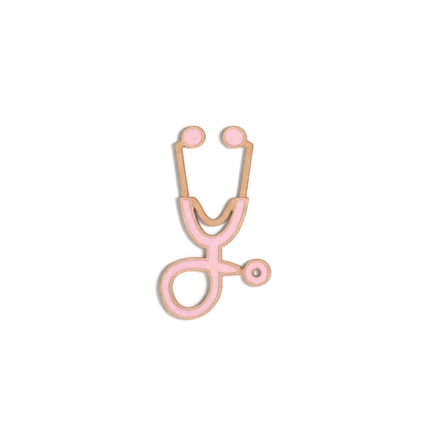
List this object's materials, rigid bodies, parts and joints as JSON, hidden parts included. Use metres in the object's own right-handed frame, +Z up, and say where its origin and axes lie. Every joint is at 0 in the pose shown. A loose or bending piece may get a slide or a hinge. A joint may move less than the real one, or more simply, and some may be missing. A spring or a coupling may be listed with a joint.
{
  "type": "stethoscope lapel pin",
  "caption": "Flat metal lapel pin shaped like a stethoscope, with pink enamel cells, rear posts and ball-locking pull clutches.",
  "frame": {"origin": "on the flat back face, on the stem's axis, level with the branch tube", "axes": "+X to the wearer-facing viewer's right and +Z up as the pin is worn; the front looks along -Y and the posts point along +Y"},
  "size_m": [0.0253, 0.0106, 0.0437],
  "materials": {
    "rose_gold_plate": "rose-gold plated die-struck metal, satin to bright",
    "pink_enamel": "pastel pink soft enamel, glossy",
    "post_brass": "drawn wire, lightly plated",
    "solder": "dull tin solder fillet",
    "nickel_plate": "nickel plated turned brass",
    "bare_brass": "turned brass",
    "bearing_steel": "polished balls",
    "spring_steel": "drawn spring wire"
  },
  "bodies": {
    "pin": {"struck_body": "rose_gold_plate", "enamel_tip_left": "pink_enamel", "enamel_tip_right": "pink_enamel", "enamel_tubing": "pink_enamel", "enamel_chest_piece": "pink_enamel", "post_left": "post_brass", "post_right": "post_brass", "solder_left": "solder", "solder_right": "solder"},
    "clutch_left": {"clutch_case_left": "nickel_plate", "end_ring_left": "nickel_plate", "lock_spring_left": "spring_steel"},
    "knob_left": {"ball_cage_left": "bare_brass", "lock_balls_left": "bearing_steel", "pull_knob_left": "nickel_plate"},
    "clutch_right": {"clutch_case_right": "nickel_plate", "end_ring_right": "nickel_plate", "lock_spring_right": "spring_steel"},
    "knob_right": {"ball_cage_right": "bare_brass", "lock_balls_right": "bearing_steel", "pull_knob_right": "nickel_plate"}
  },
  "joints": [
    {"name": "clutch_left_slide", "type": "slide", "parent": "pin", "child": "clutch_left", "axis": [0, 1, 0], "range_m": [-0.0018, 0.005]},
    {"name": "knob_left_pull", "type": "slide", "parent": "clutch_left", "child": "knob_left", "axis": [0, 1, 0], "range_m": [0, 0.0007], "stiffness_N_per_m": 400, "springref_m": -0.001, "deforming": ["lock_spring_left"]},
    {"name": "clutch_right_slide", "type": "slide", "parent": "pin", "child": "clutch_right", "axis": [0, 1, 0], "range_m": [-0.0018, 0.005]},
    {"name": "knob_right_pull", "type": "slide", "parent": "clutch_right", "child": "knob_right", "axis": [0, 1, 0], "range_m": [0, 0.0007], "stiffness_N_per_m": 400, "springref_m": -0.001, "deforming": ["lock_spring_right"]}
  ]
}
